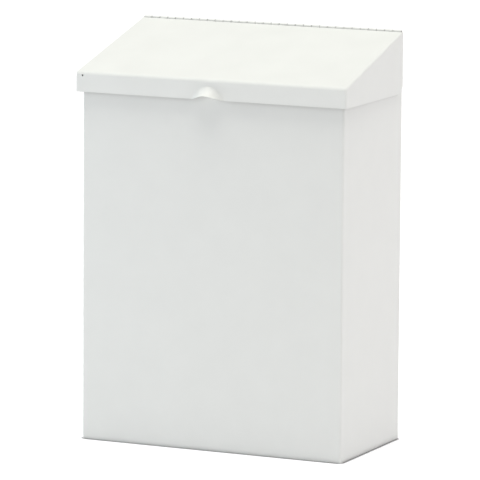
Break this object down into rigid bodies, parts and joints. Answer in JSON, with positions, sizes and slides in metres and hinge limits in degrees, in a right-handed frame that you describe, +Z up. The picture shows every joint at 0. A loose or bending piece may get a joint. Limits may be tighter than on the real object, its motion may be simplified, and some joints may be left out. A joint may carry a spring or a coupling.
{
  "type": "waste receptacle",
  "caption": "Small wall-mount sheet-steel waste receptacle with a sloped hinged lid that wraps the body, a pressed finger lift and a lift-out metal liner.",
  "frame": {"origin": "bottom centre of the closed part's outer box, finger lift included", "axes": "+X to the right seen from the front, -Y to the front, +Y to the wall, +Z up"},
  "size_m": [0.2102, 0.1134, 0.2962],
  "materials": {
    "white_powder_coat": "semi-gloss white powder coat",
    "hinge_pin_steel": "bright drawn steel",
    "galvanised_sheet": "dull galvanised",
    "rivet_aluminium": "satin",
    "bright_wire": "bright zinc-plated wire"
  },
  "bodies": {
    "bin": {"body_wrapper": "white_powder_coat", "back_panel": "white_powder_coat", "bottom_pan": "white_powder_coat", "hinge_leaf_body": "white_powder_coat", "hinge_pin": "hinge_pin_steel", "liner_shell": "galvanised_sheet", "liner_floor": "galvanised_sheet", "liner_ear_left": "galvanised_sheet", "liner_ear_right": "galvanised_sheet", "ear_rivets": "rivet_aluminium"},
    "lid": {"lid_shell": "white_powder_coat", "hinge_leaf_lid": "white_powder_coat"},
    "bail": {"liner_bail": "bright_wire"}
  },
  "joints": [
    {"name": "lid_hinge", "type": "hinge", "parent": "bin", "child": "lid", "pos_m": [0, 0.05515, 0.29472], "axis": [-1, 0, 0], "range_deg": [0, 105]},
    {"name": "bail_swing", "type": "hinge", "parent": "bin", "child": "bail", "pos_m": [0, 0.00895, 0.2224], "axis": [-1, 0, 0], "range_deg": [0, 114.8]}
  ]
}
